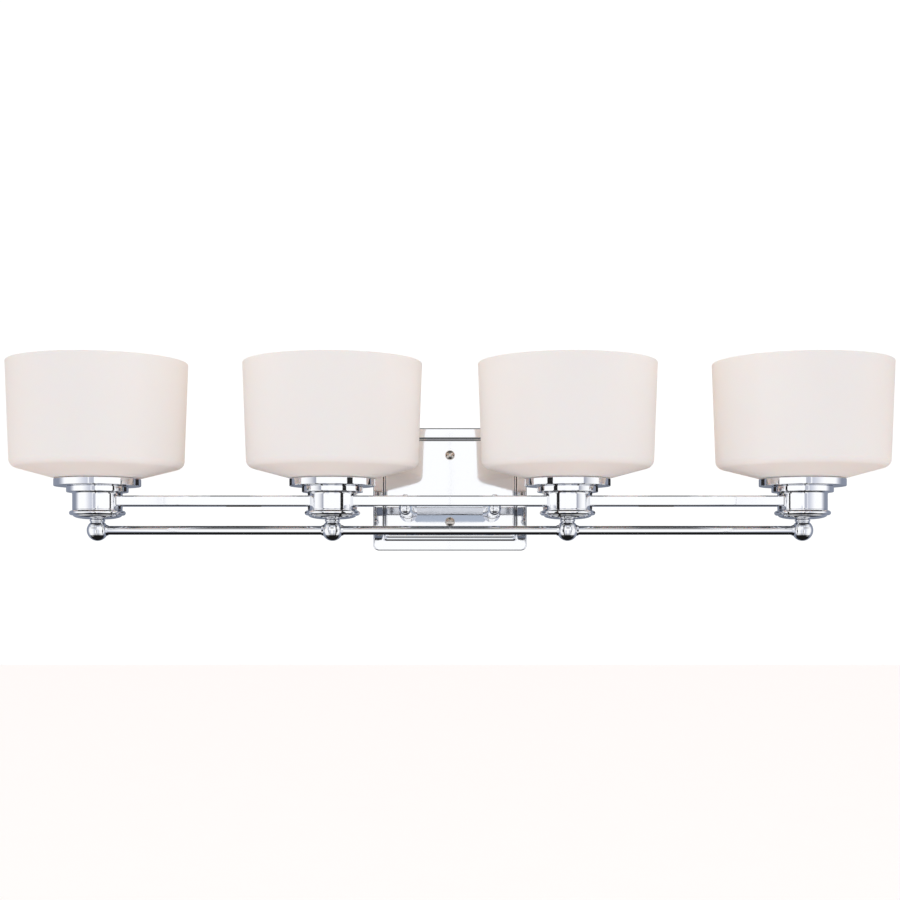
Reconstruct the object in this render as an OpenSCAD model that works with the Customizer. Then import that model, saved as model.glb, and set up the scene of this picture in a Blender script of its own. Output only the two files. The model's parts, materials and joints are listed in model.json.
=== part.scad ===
// Four-lamp vanity light bar for a bathroom wall.
// Millimetres. The origin is the centre of the backplate on the wall: +X runs
// along the bar, -Y comes out of the wall towards the room, +Z is up.

/* [Layout] */
// Distance between neighbouring lamp axes
lamp_pitch = 250; // [232:1:300]
// Distance from the wall to the lamp axes
lamp_reach = 145; // [132:1:180]
// Height of the top bar's centre line above the backplate's centre
bar_z = -20.5; // [-26:0.5:-16]
// Distance from the top bar's centre line down to the lower rod's
rod_drop = 31; // [30:0.5:40]

/* [Shade] */
// Outer radius at the rim
rim_r = 95.25; // [85:0.25:108]
// Height of the glass from its seat to its rim
glass_h = 128; // [100:1:150]
// Thickness of the glass
glass_t = 4; // [3:0.5:5]
// Angle of the side wall above the horizontal, in degrees
wall_angle = 87.9; // [84:0.1:89.5]
// Angle of the conical underside above the horizontal, in degrees
cone_angle = 15; // [14.8:0.1:24]
// Outer fillet between the underside and the side wall
glass_fillet_r = 9; // [7:0.5:20]
// Radius of the hole in the glass
glass_hole_r = 20.5; // [20:0.1:21.5]

/* [Lamp cup and hub] */
// Outer radius of the cup that the glass sits in
cup_r = 45.7; // [40:0.1:50]
// Height of the cup
cup_h = 7.9; // [7:0.1:8]
// Sheet thickness of the cup
cup_t = 1.5; // [1:0.1:2]
// Outer radius of the hub's top collar
collar_r = 32.5; // [31:0.1:38]
// Outer radius of the hub's body
body_r = 26.2; // [25:0.1:28]
// Outer radius of the bead round the hub's base
bead_r = 29.5; // [29:0.1:31]
// Radius of the ball under the hub
ball_r = 11.2; // [10:0.1:13]

/* [Bar and rod] */
// Depth of the top bar, from back to front
bar_d = 26; // [22:0.5:30]
// Height of the top bar
bar_h = 11; // [10:0.5:12]
// Wall thickness of the top bar
bar_t = 1.5; // [1:0.1:2]
// Outer radius of the lower rod
rod_r = 4.75; // [4:0.05:5]
// Wall thickness of the lower rod
rod_t = 1; // [0.8:0.1:1.5]

/* [Backplate and arms] */
// Width of the backplate
plate_w = 177; // [165:1:220]
// Height of the backplate
plate_h = 141; // [137:1:180]
// Sheet thickness of the backplate
plate_t = 1.2; // [0.8:0.1:1.6]
// Depth of the backplate, from the wall to its raised panel
plate_d = 22; // [20:0.5:26]
// Distance from the middle to each arm
arm_x = 47.5; // [40:0.5:48.5]
// Outer radius of the arms
arm_r = 7; // [6.9:0.1:8.2]

/* [Hidden] */
$fn = 96;
lamp_count = 4;
run_fit = 0.08;        // radial clearance of a turning or threaded pair
hole_gap = 0.15;       // radial clearance of a fixing in its hole
edge_r = 0.9;          // rounding on turned edges
seam_r = 0.5;          // rounding where two turned pieces meet

// Heights of the lamp stack
collar_top = bar_z + 15.7;
collar_bottom = bar_z + 9.3;
body_bottom = bar_z - 9.1;
cavity_top = collar_top - 4;
base_bottom = body_bottom - 5.9;
dome_bottom = base_bottom - 4.2;
rod_z = bar_z - rod_drop;
cup_floor = collar_top + cup_t;
gasket_t = 2.1;
seat_z = cup_floor + gasket_t;
clamp_z = seat_z + glass_t;

// Hub
cavity_r = body_r - 3.7;
cove_r = 2.2;
bar_end = 18;          // how far the top bar runs past the end lamp axes
slot_gap = 0.05;

// Fixings on each lamp axis
nipple_r = 5;
nipple_bore_r = 3.7;
nipple_low = bar_z + 2;
nipple_high = cup_floor + 5.8;
nipple_nut_af = 16;
bar_nut_af = 14;
nipple_nut_h = 3.5;
bar_nut_h = 2;
stud_r = 3;
stud_nut_af = 10;
stud_nut_h = 2.5;
stud_high = bar_z - 1;
stud_low = rod_z + 6.5;

// Lamp socket
socket_r = 19.2;
socket_top = cup_floor + 47.3;
socket_base_r = 14;
web_low = cup_floor + 12.3;
web_high = web_low + 3;
shell_bore_r = 13.25;
shell_r = 13.9;
shell_top = socket_top - 1;
ring_flange_r = 26.5;
ring_barrel_r = 22.5;
ring_flange_h = 2.2;
ring_h = 9.2;
seat_r = 27;

// Backplate, arms and bracket
corner_r = 6.5;
border_w = 10.3;       // width of the border round the raised panel
border_d = 8;          // how far the border stands out from the wall
arm_z = bar_z - 7.8;
arm_tip_y = -(lamp_reach + 1);
arm_bore_r = 5.2;
arm_bore_end = -(lamp_reach - 3);
tail_r = 6.5;
tail_y = -12;
washer_t = 1;
lock_nut_af = 19;
lock_nut_h = 4;
arm_washer_y = -(plate_d - plate_t);
bar_screw_y = -(lamp_reach + 3);
bar_screw_r = 1.95;
wire_hole_y = -(lamp_reach - 6.5);
wire_hole_r = 3.5;
nut_z = 38.1;          // backplate nuts above and below the middle
bolt_r = 2.08;
strap_t = 1.6;
slot_x = 39.6875;      // middle of each junction-box slot
slot_r = 2.4;
slot_length = 14.3;

// Leads
lead_r = 0.9;
lead_sides = 8;
black_y = -(lamp_reach - 8);
white_y = -(lamp_reach + 8);
cross_y = -(lamp_reach - 5);
branch_z = bar_z + 0.5;
branch_x = 1.5;
branch_top = web_low - 1;
pan_lead_y = -8;

SINGLE_NODES = [
    "backplate", "box_strap", "swivel_strap", "strap_pivot", "bracket_studs",
    "ground_screw", "cap_nut_upper", "cap_nut_lower", "arm_left", "arm_right",
    "arm_flange_left", "arm_flange_right", "arm_washers", "arm_lock_nuts",
    "top_bar", "bar_screws", "lower_rod", "nipples", "nipple_nuts",
    "finial_studs", "finial_nuts", "shade_gaskets", "socket_contacts",
    "wire_nuts", "black_leads", "white_leads", "ground_lead"
];
LAMP_NODES = [
    "hub", "hub_base", "ball", "lamp_cup", "socket", "socket_shell", "shade", "shade_ring"
];

// ---- Helpers ----

function lamp_x(i) = (i - (lamp_count + 1) / 2) * lamp_pitch;

function arc(c, r, a0, a1, n = 6) = [
    for (k = [0:n]) c + r * [cos(a0 + (a1 - a0) * k / n), sin(a0 + (a1 - a0) * k / n)]
];

function quarter_ellipse(c, rx, ry, n = 8) = [
    for (k = [0:n]) c + [rx * cos(90 * k / n), -ry * sin(90 * k / n)]
];

function cross2(a, b) = a.x * b.y - a.y * b.x;

function rounded_rect(w, h, r, n = 6) = [
    for (q = [0:3])
        let (sx = (q == 0 || q == 3) ? 1 : -1, sy = q < 2 ? 1 : -1)
        each arc([sx * (w / 2 - r), sy * (h / 2 - r)], r, 90 * q, 90 * q + 90, n)
];

module revolve(points) {
    rotate_extrude() polygon(points);
}

module at_lamp(i) {
    translate([lamp_x(i), -lamp_reach, 0]) children();
}

module at_each_lamp() {
    for (i = [1:lamp_count]) at_lamp(i) children();
}

// Turns a shape drawn along +Z so that it points out of the wall, along -Y
module out_of_wall(x, z, y = 0) {
    translate([x, y, z]) rotate([90, 0, 0]) children();
}

module hex_nut(across_flats, h, bore_r) {
    difference() {
        cylinder(r = across_flats / sqrt(3), h = h, $fn = 6);
        translate([0, 0, -1]) cylinder(r = bore_r, h = h + 2);
    }
}

// A closed solid skinned over a stack of outlines with equal point counts
module ring_stack(rings) {
    n = len(rings[0]);
    last = len(rings) - 1;
    sides = [
        for (k = [0:last - 1], j = [0:n - 1])
            let (m = (j + 1) % n)
            [k * n + j, (k + 1) * n + j, (k + 1) * n + m, k * n + m]
    ];
    polyhedron(
        points = [for (ring = rings) each ring],
        faces = concat([[for (j = [0:n - 1]) j]], sides, [[for (j = [n - 1:-1:0]) last * n + j]])
    );
}

// Rings of a round lead swept along a route, mitred at each bend
function unit(v) = v / norm(v);
function first_ring(d) =
    let (u = unit(cross(d, abs(d.z) < 0.9 ? [0, 0, 1] : [1, 0, 0])), v = cross(d, u))
    [for (j = [0:lead_sides - 1])
        lead_r * (u * cos(360 * j / lead_sides) + v * sin(360 * j / lead_sides))];
function lead_rings(route, i, ring) =
    let (d = unit(route[i + 1] - route[i]))
    i + 2 == len(route)
        ? [[for (o = ring) route[i + 1] + o]]
        : let (
            e = unit(route[i + 2] - route[i + 1]),
            bend = d + e,
            mitre = [for (o = ring) o - d * ((o * bend) / (d * bend))]
        )
        concat(
            [[for (o = mitre) route[i + 1] + o]],
            lead_rings(route, i + 1, [for (o = mitre) o - e * (o * e)])
        );

module lead(route) {
    start = first_ring(unit(route[1] - route[0]));
    ring_stack(concat([[for (o = start) route[0] + o]], lead_rings(route, 0, start)));
}

// ---- Glass shade and what clamps it ----

// Outline of the glass, from the hole out along the underside and up the wall
module shade(i) {
    dc = [cos(cone_angle), sin(cone_angle)];
    dw = [cos(wall_angle), sin(wall_angle)];
    foot = [seat_r, seat_z];
    rim = [rim_r, seat_z + glass_h];
    corner = foot + dc * (cross2(rim - foot, dw) / cross2(dc, dw));
    middle = (cone_angle + wall_angle + 180) / 2;
    reach = glass_fillet_r / sin((180 - wall_angle + cone_angle) / 2);
    centre = corner + reach * [cos(middle), sin(middle)];
    top_edge = glass_t * 0.35;
    inner_rim = rim + glass_t * [-sin(wall_angle), cos(wall_angle)];
    color("ivory") at_lamp(i) revolve(concat(
        [[glass_hole_r, seat_z], foot],
        arc(centre, glass_fillet_r, cone_angle - 90, wall_angle - 90, 12),
        arc([rim.x - top_edge, rim.y - top_edge], top_edge, 0, 90, 4),
        arc([inner_rim.x + top_edge, rim.y - top_edge], top_edge, 90, 180, 4),
        arc(centre, glass_fillet_r - glass_t, wall_angle - 90, cone_angle - 90, 8),
        [[seat_r - glass_t * tan(cone_angle / 2), clamp_z], [glass_hole_r, clamp_z]]
    ));
}

module shade_ring(i) {
    color("white") at_lamp(i) revolve(concat(
        [[socket_r + run_fit, clamp_z], [ring_flange_r - edge_r, clamp_z]],
        arc([ring_flange_r - edge_r, clamp_z + ring_flange_h - edge_r], edge_r, 0, 90, 3),
        [[ring_barrel_r, clamp_z + ring_flange_h], [ring_barrel_r, clamp_z + ring_h - edge_r]],
        [[ring_barrel_r - edge_r, clamp_z + ring_h], [socket_r + run_fit, clamp_z + ring_h]]
    ));
}

module shade_gaskets() {
    color("dimgray") at_each_lamp() revolve([
        [glass_hole_r, cup_floor], [seat_r, cup_floor], [seat_r, seat_z], [glass_hole_r, seat_z]
    ]);
}

// ---- Lamp stack ----

module lamp_cup(i) {
    lip_r = cup_t / 2;
    color("gainsboro") at_lamp(i) revolve(concat(
        [[nipple_r + hole_gap, collar_top]],
        arc([cup_r - edge_r, collar_top + edge_r], edge_r, -90, 0, 4),
        arc([cup_r - lip_r, collar_top + cup_h - lip_r], lip_r, 0, 180, 8),
        [[cup_r - cup_t, cup_floor], [nipple_r + hole_gap, cup_floor]]
    ));
}

// The bar runs through the middle hubs and stops inside the end ones
module bar_slot(i) {
    span = 2 * body_r;
    left = i == 1 ? 0 : -span;
    right = i == lamp_count ? 0 : span;
    d = bar_d + 2 * slot_gap;
    h = bar_h + 2 * slot_gap;
    translate([left, -d / 2, bar_z - h / 2]) cube([right - left, d, h]);
}

module hub(i) {
    color("gainsboro") at_lamp(i) difference() {
        revolve(concat(
            [[nipple_r + hole_gap, collar_top]],
            arc([collar_r - edge_r, collar_top - edge_r], edge_r, 90, 0, 3),
            arc([collar_r - edge_r, collar_bottom + edge_r], edge_r, 0, -90, 3),
            arc([body_r + cove_r, collar_bottom - cove_r], cove_r, 90, 180, 6),
            arc([body_r - seam_r, body_bottom + seam_r], seam_r, 0, -90, 3),
            [[cavity_r, body_bottom], [cavity_r, cavity_top], [nipple_r + hole_gap, cavity_top]]
        ));
        bar_slot(i);
    }
}

module hub_base(i) {
    spigot_h = 2;
    bead = 2.4;
    bead_c = [bead_r - bead, base_bottom + bead];
    color("gainsboro") at_lamp(i) revolve(concat(
        [[stud_r + hole_gap, body_bottom + spigot_h]],
        [[cavity_r - 0.2, body_bottom + spigot_h], [cavity_r - 0.2, body_bottom]],
        arc([body_r - seam_r, body_bottom - seam_r], seam_r, 90, 0, 3),
        arc(bead_c, bead, 112, -90, 12),
        quarter_ellipse([8, base_bottom - 0.2], 17.5, 4),
        [[stud_r + hole_gap, dome_bottom]]
    ));
}

// Turned ball on a beaded neck, cross-bored for the rod
module ball(i) {
    neck_bead = 1.45;
    waist_r = 6.9;
    waist_a = acos(waist_r / ball_r);
    boss_r = [6.1, 5.3];
    boss_x = [ball_r * cos(asin(boss_r[0] / ball_r)) - 0.6, ball_r + 0.4];
    stop_x = 3.3;
    bore_start = i == 1 ? -stop_x : -2 * ball_r;
    bore_end = i == lamp_count ? stop_x : 2 * ball_r;
    bosses = concat(i == lamp_count ? [] : [1], i == 1 ? [] : [-1]);
    color("gainsboro") at_lamp(i) difference() {
        union() {
            revolve(concat(
                [[0, dome_bottom], [waist_r, dome_bottom]],
                arc([waist_r - 0.15, dome_bottom - neck_bead], neck_bead, 75, -75, 8),
                arc([0, rod_z], ball_r, waist_a, -90, 16)
            ));
            for (side = bosses)
                translate([0, 0, rod_z]) rotate([0, side * 90, 0]) translate([0, 0, boss_x[0]])
                    cylinder(r1 = boss_r[0], r2 = boss_r[1], h = boss_x[1] - boss_x[0]);
        }
        translate([0, 0, stud_low - 0.5]) cylinder(r = stud_r + 0.05, h = 3 * ball_r);
        translate([bore_start, 0, rod_z]) rotate([0, 90, 0])
            cylinder(r = rod_r + 0.1, h = bore_end - bore_start);
    }
}

module socket(i) {
    chamfer = 1.2;
    color("white") at_lamp(i) revolve([
        [socket_base_r, cup_floor], [socket_r, cup_floor],
        [socket_r, socket_top - chamfer], [socket_r - chamfer, socket_top],
        [shell_r + 0.3, socket_top], [shell_r + 0.3, web_high],
        [2, web_high], [2, web_low], [socket_base_r, web_low]
    ]);
}

module socket_shell(i) {
    floor_t = 0.65;
    floor_r = 6;
    color("silver") at_lamp(i) revolve([
        [floor_r, web_high], [shell_r, web_high], [shell_r, shell_top],
        [shell_bore_r, shell_top], [shell_bore_r, web_high + floor_t],
        [floor_r, web_high + floor_t]
    ]);
}

module socket_contacts() {
    color("gold") at_each_lamp() {
        translate([-4.5, -2, web_high]) cube([9, 4, 0.4]);
        translate([0, 0, web_high]) cylinder(r = 2.5, h = 0.7);
    }
}

module nipples() {
    color("darkgoldenrod") at_each_lamp() revolve([
        [nipple_bore_r, nipple_low], [nipple_r, nipple_low],
        [nipple_r, nipple_high], [nipple_bore_r, nipple_high]
    ]);
}

module nipple_nuts() {
    color("darkgoldenrod") at_each_lamp() {
        translate([0, 0, cup_floor]) hex_nut(nipple_nut_af, nipple_nut_h, nipple_r + hole_gap);
        translate([0, 0, bar_z + bar_h / 2 - bar_t - bar_nut_h])
            hex_nut(bar_nut_af, bar_nut_h, nipple_r + hole_gap);
    }
}

module finial_studs() {
    color("darkgray") at_each_lamp()
        translate([0, 0, stud_low]) cylinder(r = stud_r, h = stud_high - stud_low);
}

module finial_nuts() {
    color("darkgray") at_each_lamp() translate([0, 0, bar_z - bar_h / 2 + bar_t])
        hex_nut(stud_nut_af, stud_nut_h, stud_r + 0.05);
}

// ---- Bar and rod ----

module top_bar() {
    color("gainsboro") difference() {
        translate([0, -lamp_reach, bar_z]) rotate([90, 0, 90])
            linear_extrude(height = 2 * (lamp_x(lamp_count) + bar_end), center = true) difference() {
                polygon(rounded_rect(bar_d, bar_h, 1.8));
                square([bar_d - 2 * bar_t, bar_h - 2 * bar_t], center = true);
            }
        at_each_lamp() {
            translate([0, 0, bar_z]) cylinder(r = nipple_r + hole_gap, h = bar_h);
            translate([0, 0, bar_z - bar_h]) cylinder(r = stud_r + hole_gap, h = bar_h);
        }
        for (side = [-1, 1]) {
            translate([side * arm_x, wire_hole_y, bar_z - bar_h]) cylinder(r = wire_hole_r, h = bar_h);
            translate([side * arm_x, bar_screw_y, bar_z - bar_h])
                cylinder(r = bar_screw_r + 0.05, h = 2 * bar_h);
        }
    }
}

module bar_screws() {
    head_r = 2.8;
    top = bar_z + bar_h / 2;
    color("gainsboro") for (side = [-1, 1])
        translate([side * arm_x, bar_screw_y, 0]) revolve(concat(
            [[0, arm_z - 4.7], [bar_screw_r, arm_z - 4.7], [bar_screw_r, top], [head_r, top]],
            arc([head_r - 1.2, top + 0.4], 1.2, 0, 90, 5),
            [[0, top + 1.6]]
        ));
}

module lower_rod() {
    length = 2 * (lamp_x(lamp_count) + 3);
    color("gainsboro") translate([-length / 2, -lamp_reach, rod_z]) rotate([0, 90, 0])
        difference() {
            cylinder(r = rod_r, h = length);
            translate([0, 0, -1]) cylinder(r = rod_r - rod_t, h = length + 2);
        }
}

// ---- Arms ----

// Round arm with a domed tip, cut flat on top where the bar sits on it
module arm(side) {
    length = -arm_tip_y - plate_d;
    seat_top = bar_z - bar_h / 2;
    color("gainsboro") difference() {
        out_of_wall(side * arm_x, arm_z, tail_y) revolve(concat(
            [[0, 0], [tail_r, 0], [tail_r, plate_d + tail_y], [arm_r, plate_d + tail_y]],
            arc([0, plate_d + tail_y + length], arm_r, 0, 90, 12)
        ));
        out_of_wall(side * arm_x, arm_z, tail_y + 1)
            cylinder(r = arm_bore_r, h = -arm_bore_end + tail_y + 1);
        translate([side * arm_x - 2 * arm_r, arm_tip_y - 2 * arm_r, seat_top])
            cube([4 * arm_r, 2 * arm_r - arm_tip_y - lamp_reach + bar_d / 2 + 0.05, 2 * arm_r]);
        translate([side * arm_x, bar_screw_y, arm_z - 5.2]) cylinder(r = bar_screw_r + 0.05, h = 4 * arm_r);
    }
}

// Bell that flares from the arm to its foot on the panel
module arm_flange(side) {
    foot_r = 10.2;
    foot_h = 1;
    mouth_r = arm_r + 0.7;
    bell_h = 22;
    steps = 10;
    color("gainsboro") out_of_wall(side * arm_x, arm_z, -plate_d) revolve(concat(
        [[arm_r + 0.1, 0], [foot_r, 0]],
        [for (k = [0:steps])
            let (t = k / steps)
            [mouth_r + (foot_r - mouth_r) * pow(1 - t, 2), foot_h + (bell_h - foot_h) * t]],
        [[arm_r + 0.1, bell_h]]
    ));
}

module arm_washers() {
    color("darkgray") for (side = [-1, 1])
        out_of_wall(side * arm_x, arm_z, arm_washer_y + washer_t) difference() {
            cylinder(r = 11, h = washer_t);
            translate([0, 0, -1]) cylinder(r = tail_r + hole_gap, h = washer_t + 2);
        }
}

module arm_lock_nuts() {
    color("darkgoldenrod") for (side = [-1, 1])
        out_of_wall(side * arm_x, arm_z, arm_washer_y + washer_t + lock_nut_h)
            hex_nut(lock_nut_af, lock_nut_h, tail_r + 0.05);
}

// ---- Backplate ----

// Outline of the pan at a given inset, its corners tightening towards the middle
function pan_ring(p) = [
    for (q = rounded_rect(plate_w - 2 * p.x, plate_h - 2 * p.x, corner_r - 0.2 * p.x))
        [q.x, q.y, p.y]
];

// Inset and height from the rolled rim, over the crowned border and up the wall of the panel
function pan_profile() =
    let (
        rim = 2.2,
        crown = 1,
        foot = 2.2,
        brow = 3.2,
        lean = 78,
        rise = plate_d - border_d - (foot + brow) * (1 - cos(lean)),
        wall_x = border_w + foot * sin(lean) + rise / tan(lean)
    )
    concat(
        [[0, 0]],
        arc([rim, border_d - crown - rim], rim, 180, 96, 4),
        [for (t = [0.25, 0.5, 0.75]) [rim + (border_w - rim) * t, border_d - crown * pow(1 - t, 2)]],
        arc([border_w, border_d + foot], foot, -90, lean - 90, 4),
        arc([wall_x + brow * sin(lean), plate_d - brow], brow, 90 + lean, 90, 5)
    );

module backplate() {
    outer = pan_profile();
    inner = concat(
        [[plate_t, -1]],
        [for (k = [1:len(outer) - 1]) outer[k] + [plate_t, -plate_t]]
    );
    color("gainsboro") rotate([90, 0, 0]) difference() {
        ring_stack([for (p = outer) pan_ring(p)]);
        ring_stack([for (p = inner) pan_ring(p)]);
        for (z = [-nut_z, nut_z])
            translate([0, z, 0]) cylinder(r = 2.5, h = 2 * plate_d);
        for (side = [-1, 1])
            translate([side * arm_x, arm_z, 0]) cylinder(r = tail_r + 0.1, h = 2 * plate_d);
    }
}

module cap_nut(z) {
    flange_r = 5.6;
    flange_h = 1.6;
    dome_r = 5.1;
    dome_h = 4.6;
    color("darkgray") out_of_wall(0, z, -plate_d) difference() {
        revolve(concat(
            [[0, 0], [flange_r, 0], [flange_r, flange_h], [dome_r, flange_h]],
            [for (k = [1:8]) [dome_r * cos(90 * k / 8), flange_h + dome_h * sin(90 * k / 8)]]
        ));
        translate([0, 0, -1]) cylinder(r = bolt_r + run_fit, h = 5);
        translate([0, 0, flange_h + dome_h]) rotate([0, 0, 40]) cube([12, 1, 2.4], center = true);
    }
}

// ---- Mounting bracket ----

module slot_hole(x) {
    run = slot_length / 2 - slot_r;
    translate([x, 0, -1]) linear_extrude(height = 6) union() {
        square([2 * run, 2 * slot_r], center = true);
        for (s = [-run, run]) translate([s, 0]) circle(r = slot_r);
    }
}

module box_strap() {
    color("silver") out_of_wall(0, 0) difference() {
        linear_extrude(height = strap_t) polygon(rounded_rect(110, 20, 3));
        slot_hole(slot_x);
        slot_hole(-slot_x);
        translate([0, 0, -1]) cylinder(r = 2.6, h = 4);
        translate([-20, 0, -1]) cylinder(r = 2.05, h = 4);
    }
}

module swivel_strap() {
    color("silver") out_of_wall(0, 0, -strap_t) difference() {
        linear_extrude(height = strap_t) polygon(rounded_rect(16, 100, 3));
        translate([0, 0, -1]) cylinder(r = 2.6, h = 4);
        for (z = [-nut_z, nut_z]) translate([0, z, -1]) cylinder(r = bolt_r + 0.05, h = 4);
    }
}

module strap_pivot() {
    color("darkgray") out_of_wall(0, 0) {
        cylinder(r = 2.5, h = 2 * strap_t);
        translate([0, 0, 2 * strap_t]) cylinder(r = 4.5, h = 2);
    }
}

module ground_screw() {
    color("seagreen") out_of_wall(-20, 0) difference() {
        union() {
            cylinder(r = 2, h = strap_t);
            translate([0, 0, strap_t]) cylinder(r = 4, h = 2.2);
        }
        translate([0, 0, strap_t + 2.2]) cube([9, 1, 1.6], center = true);
    }
}

// Two studs through the swivel strap, each held by a nut
module bracket_studs() {
    head_r = 4;
    color("silver") for (z = [-nut_z, nut_z]) out_of_wall(0, z) {
        cylinder(r = head_r, h = strap_t);
        cylinder(r = bolt_r, h = plate_d + 4);
        translate([0, 0, 2 * strap_t]) cylinder(r = head_r, h = 3, $fn = 6);
    }
}

// ---- Leads ----

// One run inside the bar, with a branch up each nipple
module bar_leads(run_y, sign) {
    end_x = lamp_x(lamp_count) + sign * branch_x;
    start_x = lamp_x(1) + sign * branch_x;
    lead([
        [start_x, -lamp_reach, branch_top], [start_x, -lamp_reach, branch_z],
        [start_x, run_y, branch_z], [end_x, run_y, branch_z],
        [end_x, -lamp_reach, branch_z], [end_x, -lamp_reach, branch_top]
    ]);
    for (i = [2:lamp_count - 1]) {
        x = lamp_x(i) + sign * branch_x;
        lead([[x, run_y, branch_z], [x, -lamp_reach, branch_z], [x, -lamp_reach, branch_top]]);
    }
}

module black_leads() {
    color("dimgray") {
        bar_leads(black_y, -1);
        lead([
            [-arm_x, black_y, branch_z], [-arm_x, black_y, arm_z],
            [-arm_x, pan_lead_y, arm_z], [-arm_x + 20, pan_lead_y, arm_z]
        ]);
    }
}

module white_leads() {
    color("whitesmoke") {
        bar_leads(white_y, 1);
        lead([
            [arm_x - 4.5, white_y, branch_z], [arm_x - 4.5, cross_y, branch_z],
            [arm_x, cross_y, branch_z], [arm_x, cross_y, arm_z],
            [arm_x, pan_lead_y, arm_z], [arm_x - 20, pan_lead_y, arm_z]
        ]);
    }
}

module ground_lead() {
    color("green") lead([
        [-20, -5, 0], [-20, pan_lead_y, 0], [-20, pan_lead_y, 20], [-31, pan_lead_y, 20]
    ]);
}

module wire_nut() {
    difference() {
        cylinder(r1 = 5, r2 = 3.4, h = 16);
        translate([0, 0, -1]) cylinder(r = 2.2, h = 11);
    }
}

module wire_nuts() {
    mouth = arm_x - 16;
    color("orange") {
        translate([-mouth, pan_lead_y, arm_z]) rotate([0, 90, 0]) wire_nut();
        translate([mouth, pan_lead_y, arm_z]) rotate([0, -90, 0]) wire_nut();
        translate([-27, pan_lead_y, 20]) rotate([0, -90, 0]) wire_nut();
    }
}

// ---- The assembly ----

backplate();
box_strap();
swivel_strap();
strap_pivot();
bracket_studs();
ground_screw();
cap_nut(nut_z);  // cap_nut_upper
cap_nut(-nut_z);  // cap_nut_lower
arm(-1);  // arm_left
arm(1);  // arm_right
arm_flange(-1);  // arm_flange_left
arm_flange(1);  // arm_flange_right
arm_washers();
arm_lock_nuts();
top_bar();
bar_screws();
lower_rod();
nipples();
nipple_nuts();
finial_studs();
finial_nuts();
shade_gaskets();
socket_contacts();
wire_nuts();
black_leads();
white_leads();
ground_lead();
for (i = [1:lamp_count]) {
    hub(i);
    hub_base(i);
    ball(i);
    lamp_cup(i);
    socket(i);
    socket_shell(i);
    shade(i);
    shade_ring(i);
}
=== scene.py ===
"""Looks of the four-lamp vanity light bar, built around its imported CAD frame.

Everything is in metres, in the part's own frame: +X along the bar, -Y out of the wall, +Z up.
"""

import json
import math

import bpy
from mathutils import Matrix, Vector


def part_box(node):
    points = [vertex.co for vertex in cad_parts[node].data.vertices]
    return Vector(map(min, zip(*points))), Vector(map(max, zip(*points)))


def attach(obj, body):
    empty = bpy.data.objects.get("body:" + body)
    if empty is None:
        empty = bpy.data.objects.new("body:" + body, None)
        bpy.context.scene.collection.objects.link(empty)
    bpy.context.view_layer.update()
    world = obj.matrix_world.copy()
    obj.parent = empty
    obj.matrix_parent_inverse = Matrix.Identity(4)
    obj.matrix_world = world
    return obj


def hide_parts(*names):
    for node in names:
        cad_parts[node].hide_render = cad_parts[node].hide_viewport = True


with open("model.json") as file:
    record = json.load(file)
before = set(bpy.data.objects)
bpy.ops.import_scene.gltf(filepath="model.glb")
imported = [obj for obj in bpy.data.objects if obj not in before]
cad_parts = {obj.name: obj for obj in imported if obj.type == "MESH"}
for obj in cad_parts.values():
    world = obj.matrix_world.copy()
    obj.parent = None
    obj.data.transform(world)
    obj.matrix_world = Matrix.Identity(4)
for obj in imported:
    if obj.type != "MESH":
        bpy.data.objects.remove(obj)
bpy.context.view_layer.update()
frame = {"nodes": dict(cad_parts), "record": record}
nodes = frame["nodes"]

MM = 0.001
LAMPS = (1, 2, 3, 4)


# ---------------------------------------------------------------- shader helpers

class Shader:
    """A small wrapper that keeps node graphs short to write."""

    def __init__(self, tree):
        self.tree = tree

    def node(self, kind, **settings):
        made = self.tree.nodes.new(kind)
        for key, value in settings.items():
            setattr(made, key, value)
        return made

    def link(self, source, target):
        self.tree.links.new(source, target)

    def feed(self, target, value):
        """Sets an input to a plain value, or links it to another node's output."""
        if isinstance(value, bpy.types.NodeSocket):
            self.link(value, target)
        else:
            target.default_value = value

    def math(self, operation, *values):
        made = self.node("ShaderNodeMath", operation=operation)
        for k, value in enumerate(values):
            self.feed(made.inputs[k], value)
        return made.outputs[0]

    def mix(self, factor, low, high):
        made = self.node("ShaderNodeMix", data_type="RGBA")
        self.feed(made.inputs["Factor"], factor)
        self.feed(made.inputs[6], low)
        self.feed(made.inputs[7], high)
        return made.outputs[2]

    def span(self, value, low, high, to_low=0.0, to_high=1.0):
        """A smooth step from to_low to to_high as the value goes from low to high."""
        made = self.node("ShaderNodeMapRange", interpolation_type="SMOOTHSTEP")
        for k, number in enumerate((value, low, high, to_low, to_high)):
            self.feed(made.inputs[k], number)
        return made.outputs[0]

    def noise(self, scale, detail=2.0, roughness=0.5, stretch=(1, 1, 1)):
        """Noise over the object's own coordinates, in metres."""
        where = self.node("ShaderNodeTexCoord").outputs["Object"]
        mapping = self.node("ShaderNodeMapping")
        mapping.inputs["Scale"].default_value = stretch
        self.link(where, mapping.inputs["Vector"])
        made = self.node("ShaderNodeTexNoise")
        self.link(mapping.outputs[0], made.inputs["Vector"])
        made.inputs["Scale"].default_value = scale
        made.inputs["Detail"].default_value = detail
        made.inputs["Roughness"].default_value = roughness
        return made.outputs["Fac"]

    def bump(self, height, distance, strength=1.0):
        made = self.node("ShaderNodeBump")
        self.link(height, made.inputs["Height"])
        made.inputs["Distance"].default_value = distance
        made.inputs["Strength"].default_value = strength
        return made.outputs[0]


def new_material(name):
    """A material with one Principled shader; returns it with its helper and shader."""
    material = bpy.data.materials.new(name)
    material.use_nodes = True
    tree = material.node_tree
    return material, Shader(tree), tree.nodes["Principled BSDF"]


def grey(value):
    return (value, value, value, 1.0)


# ---------------------------------------------------------------- materials

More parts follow.
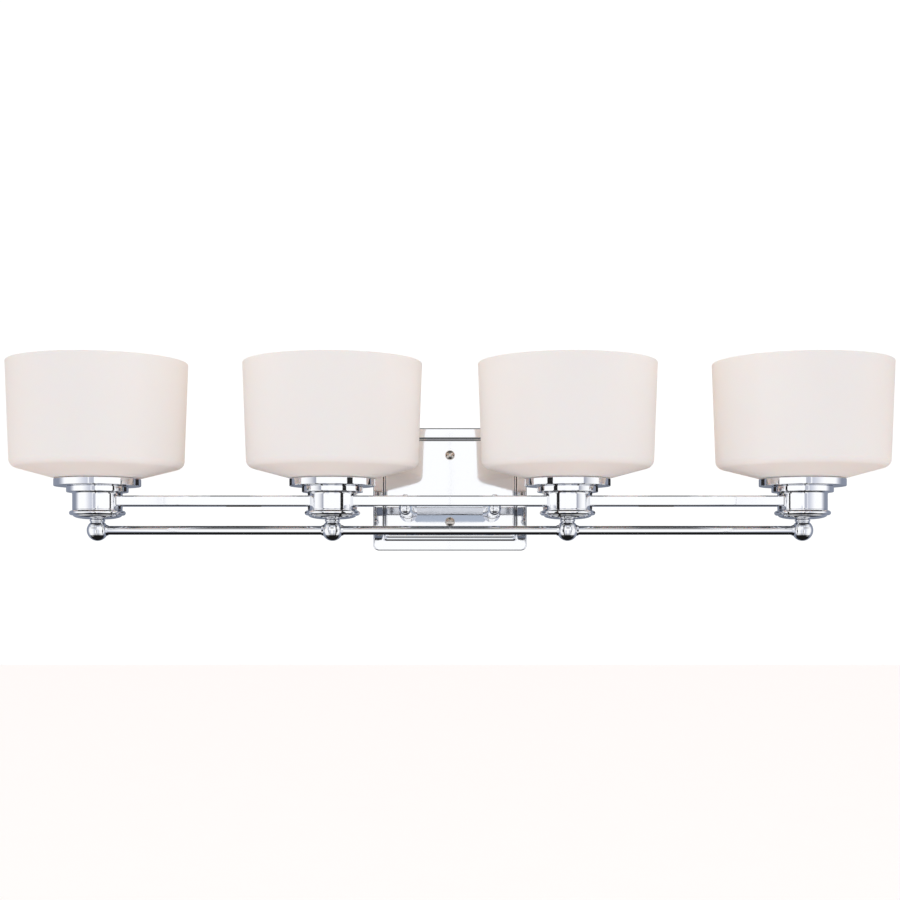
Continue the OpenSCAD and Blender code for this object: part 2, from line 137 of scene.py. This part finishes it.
def chrome():
    """Bright chrome plate: near-mirror, with a faint waviness and wiped haze."""
    material, s, p = new_material("chrome")
    haze = s.noise(38.0, 3.0)
    p.inputs["Base Color"].default_value = (0.80, 0.81, 0.835, 1.0)
    p.inputs["Metallic"].default_value = 1.0
    s.link(s.span(haze, 0.35, 0.75, 0.035, 0.075), p.inputs["Roughness"])
    s.link(s.bump(s.noise(60.0, 1.0), 0.00004, 0.35), p.inputs["Normal"])
    return material


def opal_glass():
    """Satin-etched opal glass: milky, slightly warm, with a fine even grain."""
    material, s, p = new_material("opal_glass")
    cloud = s.noise(9.0, 3.0)
    milk = s.mix(cloud, (0.925, 0.905, 0.888, 1), (0.945, 0.930, 0.915, 1))
    s.link(milk, p.inputs["Base Color"])
    p.inputs["Subsurface Weight"].default_value = 0.25
    p.inputs["Subsurface Radius"].default_value = (1.0, 0.7, 0.55)
    p.inputs["Subsurface Scale"].default_value = 0.004
    p.inputs["IOR"].default_value = 1.5
    p.inputs["Specular IOR Level"].default_value = 0.35
    s.link(s.span(cloud, 0.2, 0.8, 0.46, 0.56), p.inputs["Roughness"])
    s.link(s.bump(s.noise(2600.0, 2.0), 0.00002, 0.25), p.inputs["Normal"])
    return material


def porcelain():
    """Glazed white porcelain with faint cloudiness under its gloss."""
    material, s, p = new_material("porcelain")
    glaze = s.mix(s.noise(70.0), (0.84, 0.83, 0.79, 1), (0.90, 0.89, 0.86, 1))
    s.link(glaze, p.inputs["Base Color"])
    p.inputs["Roughness"].default_value = 0.16
    p.inputs["Coat Weight"].default_value = 0.4
    s.link(s.bump(s.noise(240.0), 0.00006, 0.4), p.inputs["Normal"])
    return material


def metal(name, light, dark, roughness, grain=900.0, stretch=(1, 1, 1)):
    """Plain machined or plated metal with a fine grain in its colour and gloss."""
    material, s, p = new_material(name)
    grain_noise = s.noise(grain, 4.0, 0.6, stretch)
    s.link(s.mix(grain_noise, dark, light), p.inputs["Base Color"])
    p.inputs["Metallic"].default_value = 1.0
    s.link(s.span(grain_noise, 0.2, 0.8, roughness - 0.06, roughness + 0.08), p.inputs["Roughness"])
    s.link(s.bump(grain_noise, 0.00003, 0.5), p.inputs["Normal"])
    return material


def plastic(name, light, dark, roughness, grain=700.0):
    """Moulded plastic or rubber: nearly even colour with a fine moulded texture."""
    material, s, p = new_material(name)
    texture = s.noise(grain, 3.0)
    s.link(s.mix(texture, dark, light), p.inputs["Base Color"])
    s.link(s.span(texture, 0.2, 0.8, roughness - 0.05, roughness + 0.07), p.inputs["Roughness"])
    s.link(s.bump(texture, 0.00004, 0.4), p.inputs["Normal"])
    return material


# Lighter colour, darker colour and mean roughness; the brushed ones add grain scale and stretch
METALS = {
    "satin_nickel": ((0.66, 0.62, 0.575, 1), (0.56, 0.52, 0.48, 1), 0.24),
    "socket_aluminium": ((0.83, 0.83, 0.84, 1), (0.66, 0.66, 0.68, 1), 0.27, 500.0, (1, 1, 12)),
    "zinc_steel": ((0.68, 0.70, 0.74, 1), (0.50, 0.52, 0.55, 1), 0.34, 900.0, (1, 1, 8)),
    "brass": ((0.83, 0.62, 0.28, 1), (0.66, 0.46, 0.18, 1), 0.26),
    "green_screw": ((0.10, 0.42, 0.17, 1), (0.04, 0.28, 0.10, 1), 0.30),
}
# Lighter colour, darker colour and mean roughness
PLASTICS = {
    "ring_plastic": ((0.86, 0.85, 0.82, 1), (0.79, 0.78, 0.75, 1), 0.42),
    "gasket_rubber": ((0.55, 0.55, 0.54, 1), (0.44, 0.44, 0.43, 1), 0.68),
    "black_insulation": ((0.035, 0.035, 0.037, 1), (0.02, 0.02, 0.021, 1), 0.38),
    "white_insulation": ((0.84, 0.84, 0.82, 1), (0.76, 0.76, 0.74, 1), 0.38),
    "green_insulation": ((0.05, 0.33, 0.12, 1), (0.03, 0.24, 0.08, 1), 0.38),
    "wire_nut_plastic": ((0.85, 0.34, 0.05, 1), (0.72, 0.26, 0.03, 1), 0.36),
}


def make_materials():
    """One material for each slot of the record."""
    made = {"chrome": chrome(), "opal_glass": opal_glass(), "porcelain": porcelain()}
    for name, finish in METALS.items():
        made[name] = metal(name, *finish)
    for name, finish in PLASTICS.items():
        made[name] = plastic(name, *finish)
    return made


materials = make_materials()


def dress_cad_nodes():
    """Gives every CAD node the material of its slot."""
    for part in frame["record"]["subparts"]:
        mesh = nodes[part["node"]].data
        mesh.materials.clear()
        mesh.materials.append(materials[part["material_slot"]])


dress_cad_nodes()


# ---------------------------------------------------------------- detail pieces

def finish_piece(name, verts, faces, slot, body, replaced, sharp=35):
    """Makes a piece of the object: smooth, dressed in its slot's material and riding its body."""
    mesh = bpy.data.meshes.new(name)
    mesh.from_pydata(verts, [], faces)
    mesh.validate()
    mesh.polygons.foreach_set("use_smooth", [True] * len(mesh.polygons))
    mesh.set_sharp_from_angle(angle=math.radians(sharp))
    mesh.materials.append(materials[slot])
    piece = bpy.data.objects.new(name, mesh)
    bpy.context.scene.collection.objects.link(piece)
    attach(piece, body)
    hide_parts(*replaced)


def turn(profile, segments, shape):
    """Closed ring of a profile about Z; shape(radius, height, angle, k) gives each point."""
    count = len(profile)
    verts = []
    for j in range(segments):
        angle = 2 * math.pi * j / segments
        for k, (radius, height) in enumerate(profile):
            r, h = shape(radius, height, angle, k)
            verts.append((r * math.cos(angle), r * math.sin(angle), h))
    faces = []
    for j in range(segments):
        here, there = j * count, (j + 1) % segments * count
        for k in range(count):
            m = (k + 1) % count
            faces.append((here + k, there + k, there + m, here + m))
    return verts, faces


def moved(verts, x, y):
    return [(v[0] + x, v[1] + y, v[2]) for v in verts]


def add_socket_shell(i):
    """Screw shell of a lamp socket, rolled with the rounded medium-base thread."""
    low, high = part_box(f"socket_shell_{i}")
    pitch = 25.4 / 7 * MM        # 7 threads to the inch
    depth = 0.28 * MM            # from the thread's mean to its crest
    sheet = 0.3 * MM
    floor_r = 6 * MM
    margin = 0.02 * MM           # keeps the crests inside the node's box
    mean_r = (high.x - low.x) / 2 - sheet - depth - margin
    rings = 80
    segments = 72
    plain = 3.5 * MM             # the thread fades out over this height at both ends
    heights = [low.z + sheet + (high.z - low.z - sheet) * k / rings for k in range(rings + 1)]
    inner = [(mean_r, h) for h in heights]
    outer = [(mean_r + sheet, h) for h in reversed(heights)]
    profile = [(floor_r, low.z + sheet)] + inner + outer + [(mean_r + sheet, low.z), (floor_r, low.z)]

    def threaded(radius, height, angle, k):
        from_floor = max(0.0, (height - low.z - sheet) / plain)
        from_mouth = max(0.0, (high.z - height) / plain)
        fade = min(1.0, from_floor, from_mouth)
        wave = depth * fade * math.cos(2 * math.pi * height / pitch - angle)
        return (radius + wave if radius > floor_r else radius), height

    verts, faces = turn(profile, segments, threaded)
    verts = moved(verts, (low.x + high.x) / 2, (low.y + high.y) / 2)
    finish_piece(f"screw_shell_{i}", verts, faces, "socket_aluminium", "fixture", [f"socket_shell_{i}"])


def add_shade_ring(i):
    """Moulded ring that clamps a shade: a scalloped grip flange and a ribbed barrel."""
    low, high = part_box(f"shade_ring_{i}")
    flange_r = (high.x - low.x) / 2
    flange_h = 2.2 * MM
    flange_bevel = 0.4 * MM
    flange_edge = 1.6 * MM       # height where the flange's shoulder starts
    flange_shoulder = 0.7 * MM
    bore_r = 19.28 * MM
    bore_bevel = 0.5 * MM
    barrel_r = 22.4 * MM
    barrel_bevel = 0.6 * MM
    height = high.z - low.z
    scallop = 0.9 * MM
    rib = 0.35 * MM
    lobes = 20
    ribs = 3 * lobes
    steps_per_lobe = 18
    profile = [
        (bore_r, 0),
        (flange_r - flange_bevel, 0),
        (flange_r, flange_bevel),
        (flange_r, flange_edge),
        (flange_r - flange_shoulder, flange_h),
        (barrel_r + barrel_bevel, flange_h),
        (barrel_r, flange_h + barrel_bevel),
        (barrel_r, height - barrel_bevel),
        (barrel_r - barrel_bevel, height),
        (bore_r + bore_bevel, height),
        (bore_r, height - bore_bevel),
    ]
    # Places in the profile of the points that the grip and the ribs shape
    grip = {1, 2, 3, 4}
    ribbed = {6, 7, 8}

    def moulded(radius, h, angle, k):
        if k in grip:
            radius -= scallop * (0.5 - 0.5 * math.cos(lobes * angle)) ** 2
        if k in ribbed:
            radius -= rib * (0.5 - 0.5 * math.cos(ribs * angle))
        return radius, low.z + h

    verts, faces = turn(profile, steps_per_lobe * lobes, moulded)
    verts = moved(verts, (low.x + high.x) / 2, (low.y + high.y) / 2)
    finish_piece(f"grip_ring_{i}", verts, faces, "ring_plastic", f"ring_{i}", [f"shade_ring_{i}"])


def add_arm_bell(side):
    """Bell where an arm meets the backplate: a smooth flare over a thin foot."""
    low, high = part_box(f"arm_flange_{side}")
    foot_r = (high.x - low.x) / 2
    foot_h = 1 * MM
    mouth_r = 7.3 * MM
    bore_r = 7.1 * MM
    lip = 0.15 * MM
    length = high.y - low.y
    flare_h = length - foot_h - lip
    steps = 32
    segments = 96
    flare = []
    for k in range(steps + 1):
        t = k / steps
        flare.append((mouth_r + (foot_r - mouth_r) * (1 - t) ** 2, foot_h + flare_h * t))
    profile = [(bore_r, 0), (foot_r - lip, 0), (foot_r, lip)] + flare
    profile += [(mouth_r - lip, length), (bore_r, length)]
    verts, faces = turn(profile, segments, lambda radius, height, angle, k: (radius, height))
    middle_x = (low.x + high.x) / 2
    middle_z = (low.z + high.z) / 2
    placed = [(middle_x + v[0], high.y - v[2], middle_z + v[1]) for v in verts]
    finish_piece(f"arm_bell_{side}", placed, faces, "chrome", "fixture", [f"arm_flange_{side}"])


def arc(centre_x, centre_y, radius, start, end, steps):
    """Points of an arc, from one angle to the other in degrees."""
    points = []
    for k in range(steps + 1):
        angle = math.radians(start + (end - start) * k / steps)
        points.append((centre_x + radius * math.cos(angle), centre_y + radius * math.sin(angle)))
    return points


def held(profile, hold, shortest):
    """The profile with a point added near each end of a long stretch, to keep it flat in shading."""
    out = []
    for here, there in zip(profile, profile[1:]):
        out.append(here)
        length = math.dist(here, there)
        if length > shortest:
            for t in (hold / length, 1 - hold / length):
                across = here[0] + (there[0] - here[0]) * t
                up = here[1] + (there[1] - here[1]) * t
                out.append((across, up))
    out.append(profile[-1])
    return out


def pan_profile(depth):
    """Inset and height of the backplate's skin, from its rolled rim to the edge of its panel."""
    border_w = 10.3 * MM
    border_h = 8 * MM
    rim_r = 1.5 * MM
    crown = 0.35 * MM            # the border rises this much from the rim to the panel's wall
    foot_r = 1.8 * MM            # inner round where the panel's wall starts
    brow_r = 2.6 * MM            # outer round where the wall ends
    lean = 78                    # the wall's slope in degrees
    lean_cos = math.cos(math.radians(lean))
    lean_sin = math.sin(math.radians(lean))
    rise = depth - border_h - (foot_r + brow_r) * (1 - lean_cos)
    wall_x = border_w + foot_r * lean_sin + rise / math.tan(math.radians(lean))
    crown_steps = 8
    crowned = []
    for k in range(1, crown_steps):
        t = k / crown_steps
        crowned.append((rim_r + (border_w - rim_r) * t, border_h - crown * (1 - t) ** 2))
    roll = arc(rim_r, border_h - crown - rim_r, rim_r, 180, 92, 10)
    cove = arc(border_w, border_h + foot_r, foot_r, -90, lean - 90, 10)
    turn_over = arc(wall_x + brow_r * lean_sin, depth - brow_r, brow_r, 90 + lean, 90, 12)
    return [(0, 0)] + roll + crowned + cove + turn_over


def rounded_ring(half_w, half_h, radius, inset, steps=14):
    """Outline of a rounded rectangle, drawn in by inset."""
    ring = []
    for corner, (sx, sy) in enumerate(((1, 1), (-1, 1), (-1, -1), (1, -1))):
        centre_x = sx * (half_w - inset - radius)
        centre_y = sy * (half_h - inset - radius)
        ring += arc(centre_x, centre_y, radius, 90 * corner, 90 * (corner + 1), steps)
    return ring


def add_pan():
    """The backplate as one pressed sheet: rolled rim, crowned border and raised panel."""
    low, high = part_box("backplate")
    sheet = 1.2 * MM
    hold = 0.15 * MM
    shortest_held = 1.2 * MM
    corner = 6.5 * MM
    corner_gain = 0.2            # how fast the corners tighten towards the panel
    smooth_below = 50            # degrees; sharper edges stay edges
    half_w = (high.x - low.x) / 2
    half_h = (high.z - low.z) / 2
    depth = high.y - low.y
    outer = held(pan_profile(depth), hold, shortest_held)
    outer.append((outer[-1][0] + hold, depth))
    inner = [(inset + sheet, height - sheet) for inset, height in outer if height > 2 * sheet]
    skin = outer[::-1] + [(sheet, 0)] + inner
    verts = []
    for inset, height in skin:
        for x, z in rounded_ring(half_w, half_h, corner - corner_gain * inset, inset):
            verts.append((x, high.y - height, z))
    count = len(verts) // len(skin)
    faces = [list(range(count))]
    for k in range(len(skin) - 1):
        for j in range(count):
            m = (j + 1) % count
            here, there = k * count, (k + 1) * count
            faces.append([here + m, here + j, there + j, there + m])
    faces.append([len(verts) - 1 - j for j in range(count)])
    finish_piece("pressed_pan", verts, faces, "chrome", "fixture", ["backplate"], smooth_below)


add_pan()
for side_name in ("left", "right"):
    add_arm_bell(side_name)
for lamp in LAMPS:
    add_socket_shell(lamp)
    add_shade_ring(lamp)


# ---------------------------------------------------------------- camera and studio

CAMERA_DISTANCE = 1.649      # metres in front of the plane of the lamps' axes
CAMERA_Z = -0.101
HALF_VIEW = 0.2903           # half the view's width over its distance
FRAME_SHIFT = 0.141          # of the view's width, upwards
SENSOR = 36.0

lamp_low, lamp_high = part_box("shade_1")
LAMP_Y = (lamp_low.y + lamp_high.y) / 2

WHITE = 1.23                             # brightness of the screen that the chrome mirrors
SCREEN_DIM = (0.72, 0.745, 0.84, 1)      # where it starts again past its bright middle
CEILING_LIGHT = 0.50                     # the front ceiling next to the screen
CEILING_DARK = 0.16                      # and overhead
FLOOR_DARK = 0.012
BACK_TOP = 0.02
SIDE_ROOM = (1.25, 1.25, 1.28, 1)        # the room behind, from beside the screen
MIDDLE_ROOM = (0.30, 0.33, 0.41, 1)
FAR_ROOM = (0.20, 0.225, 0.28, 1)        # to straight behind the wall
BACKDROP = 1.05                          # what the camera sees round the object


def add_camera():
    """A level camera, square on to the wall, whose frame is shifted up to the light."""
    data = bpy.data.cameras.new("camera")
    data.sensor_width = SENSOR
    data.lens = SENSOR / 2 / HALF_VIEW
    data.shift_y = FRAME_SHIFT
    data.clip_end = 60.0
    camera = bpy.data.objects.new("camera", data)
    bpy.context.scene.collection.objects.link(camera)
    camera.location = (0.0, LAMP_Y - CAMERA_DISTANCE, CAMERA_Z)
    camera.rotation_euler = (math.radians(90), 0, 0)
    bpy.context.scene.camera = camera


def add_floor():
    """A pale floor at the height a bathroom light hangs above it."""
    drop = 1.9
    half = 30.0
    glow = 0.2
    mesh = bpy.data.meshes.new("floor")
    corners = [(-half, -half, -drop), (half, -half, -drop), (half, half, -drop), (-half, half, -drop)]
    mesh.from_pydata(corners, [], [(0, 1, 2, 3)])
    floor = bpy.data.objects.new("floor", mesh)
    bpy.context.scene.collection.objects.link(floor)
    material, s, p = new_material("floor")
    pale = s.mix(s.noise(3.0), (0.84, 0.88, 0.95, 1), (0.86, 0.90, 0.97, 1))
    s.link(pale, p.inputs["Base Color"])
    p.inputs["Roughness"].default_value = 0.7
    p.inputs["Emission Color"].default_value = grey(1.0)
    p.inputs["Emission Strength"].default_value = glow
    mesh.materials.append(material)
    floor.visible_glossy = False
    floor.visible_diffuse = False


def front_room(s, elevation, side):
    """In front, by angle in degrees: a white screen, a grey ceiling and a dark floor close by."""
    ceiling = s.mix(s.span(elevation, 34, 56), grey(CEILING_LIGHT), grey(CEILING_DARK))
    dimmed = s.mix(s.span(side, 12, 50), SCREEN_DIM, grey(WHITE))
    screen = s.mix(s.span(side, 12.2, 13.2), grey(WHITE), dimmed)
    above_floor = s.mix(s.span(elevation, 17, 27), screen, ceiling)
    return s.mix(s.span(elevation, -58, -32), grey(FLOOR_DARK), above_floor)


def back_room(s, elevation, side):
    """Behind, by angle in degrees: a lavender room, darker away from the screen."""
    room = s.mix(s.span(side, 72, 112), SIDE_ROOM, MIDDLE_ROOM)
    room = s.mix(s.span(side, 152, 172), room, FAR_ROOM)
    above_floor = s.mix(s.span(elevation, 22, 46), room, grey(BACK_TOP))
    return s.mix(s.span(elevation, -46, -26), grey(FLOOR_DARK), above_floor)


def even_light(s, y, z):
    """Soft light for all that isn't a mirror: warmer from below and from the wall."""
    front_below = (1.38, 1.305, 1.325, 1)
    front_above = (0.955, 0.95, 0.96, 1)
    wall_below = (1.38, 1.09, 0.90, 1)
    wall_above = (1.10, 0.90, 0.73, 1)
    upward = s.span(z, -0.4, 0.3)
    front = s.mix(upward, front_below, front_above)
    wall = s.mix(upward, wall_below, wall_above)
    return s.mix(s.span(y, -0.6, 0.6), front, wall)


def add_studio():
    """A white tent: mirrors see a room mapped by direction, the rest gets even soft light."""
    world = bpy.data.worlds.new("studio")
    bpy.context.scene.world = world
    world.use_nodes = True
    tree = world.node_tree
    tree.nodes.clear()
    s = Shader(tree)
    direction = s.node("ShaderNodeTexCoord").outputs["Generated"]
    split = s.node("ShaderNodeSeparateXYZ")
    s.link(direction, split.inputs[0])
    x, y, z = split.outputs
    # Angles in degrees: up from level, and to either side of straight out from the wall
    degrees = 180 / math.pi
    elevation = s.math("MULTIPLY", s.math("ARCSINE", z), degrees)
    azimuth = s.math("MULTIPLY", s.math("ARCTAN2", x, s.math("MULTIPLY", y, -1.0)), degrees)
    side = s.math("ABSOLUTE", azimuth)
    front = front_room(s, elevation, side)
    back = back_room(s, elevation, side)
    mirrored = s.mix(s.span(y, -0.25, 0.05), front, back)
    path = s.node("ShaderNodeLightPath")
    light = s.mix(path.outputs["Is Glossy Ray"], even_light(s, y, z), mirrored)
    shown = s.mix(path.outputs["Is Camera Ray"], light, grey(BACKDROP))
    background = s.node("ShaderNodeBackground")
    s.link(shown, background.inputs["Color"])
    output = s.node("ShaderNodeOutputWorld")
    s.link(background.outputs[0], output.inputs["Surface"])


CARD_LINE = 0.27             # metres in front of the lamps' axes, where a card's x is given


def card_points(x, near, far, low, high):
    """Corners of an upright card that stands edge-on to what the flat faces reflect.

    near and far are its edges' distances in front of the lamps' axes, x its place at CARD_LINE.
    """
    slope = x / (CAMERA_DISTANCE + CARD_LINE)
    corners = []
    for reach in (near, far):
        across = slope * (CAMERA_DISTANCE + reach)
        corners += [(across, LAMP_Y - reach, low), (across, LAMP_Y - reach, high)]
    return corners


def outward(corners):
    """The corners in the order that makes left and right cards each other's mirror image."""
    if corners[0][0] < 0:
        return corners
    return [corners[k] for k in (1, 0, 3, 2)]


def add_card(name, corners, tones):
    """A card that only mirrors pick up; tones(s, reach) colours it by its distance in front."""
    mesh = bpy.data.meshes.new(name)
    mesh.from_pydata(corners, [], [(0, 1, 3, 2)])
    card = bpy.data.objects.new(name, mesh)
    bpy.context.scene.collection.objects.link(card)
    material, s, p = new_material(name)
    p.inputs["Base Color"].default_value = grey(0.0)
    p.inputs["Specular IOR Level"].default_value = 0.0
    p.inputs["Emission Strength"].default_value = 1.0
    split = s.node("ShaderNodeSeparateXYZ")
    s.link(s.node("ShaderNodeTexCoord").outputs["Object"], split.inputs[0])
    reach = s.math("SUBTRACT", LAMP_Y, split.outputs[1])
    s.feed(p.inputs["Emission Color"], tones(s, reach))
    material.cycles.emission_sampling = "NONE"
    mesh.materials.append(material)
    card.visible_camera = False
    card.visible_diffuse = False
    card.visible_transmission = False
    card.visible_shadow = False


def black_tone(s, reach):
    return grey(0.025)


def white_tone(s, reach):
    return grey(WHITE)


def band_tone(s, reach):
    return (0.50, 0.56, 0.67, 1.0)


def side_tones(s, reach):
    """The inner face dims with distance and then is white; the outer is white and then grey."""
    turning = 0.30
    inner_dim = (0.44, 0.46, 0.54, 1)
    outer_near = (0.60, 0.62, 0.70, 1)
    outer_far = (0.74, 0.76, 0.85, 1)
    inner = s.mix(s.span(reach, 0.05, turning), grey(WHITE), inner_dim)
    inner = s.mix(s.span(reach, turning, 0.32), inner, grey(WHITE))
    outer = s.mix(s.span(reach, turning, 2.2), outer_near, outer_far)
    outer = s.mix(s.span(reach, 0.28, turning), grey(WHITE), outer)
    backfacing = s.node("ShaderNodeNewGeometry").outputs["Backfacing"]
    return s.mix(backfacing, inner, outer)


# Cards in the middle: where each starts and ends in front, its lowest and highest z, and its tone
MIDDLE_CARDS = {
    "black": (0.098, 0.155, -0.30, 0.12, black_tone),
    "near": (0.0, 0.098, -0.02, 0.12, white_tone),
    "far": (0.155, 0.62, -0.02, 0.16, white_tone),
}
# Cards on both sides: the place across at CARD_LINE, and then the same
SIDE_CARDS = {
    "side": (0.350, 0.042, 6, -0.02, 0.40, side_tones),
    "end": (0.420, 0.5, 6, -0.02, 0.40, side_tones),
    "ball": (0.350, 0.26, 0.38, -0.30, -0.02, black_tone),
    "behind": (0.298, -0.20, -0.06, -0.045, 0.12, black_tone),
}


def add_band():
    """A narrow card between the arms, which the backplate mirrors as a blue-grey band."""
    half_w = 0.042
    low, high = -0.034, -0.022
    corners = [(x, LAMP_Y, z) for x in (-half_w, half_w) for z in (low, high)]
    add_card("card_band", corners, band_tone)


def add_cards():
    """Cards that draw the black stripes and grey ramps on the turned chrome."""
    for kind, (near, far, low, high, tones) in MIDDLE_CARDS.items():
        add_card(f"card_middle_{kind}", card_points(0.0, near, far, low, high), tones)
    for side, word in ((-1, "left"), (1, "right")):
        for kind, (across, near, far, low, high, tones) in SIDE_CARDS.items():
            corners = card_points(side * across, near, far, low, high)
            add_card(f"card_{kind}_{word}", outward(corners), tones)
    add_band()


add_camera()
add_floor()
add_studio()
add_cards()
bpy.context.scene.view_settings.view_transform = "Standard"
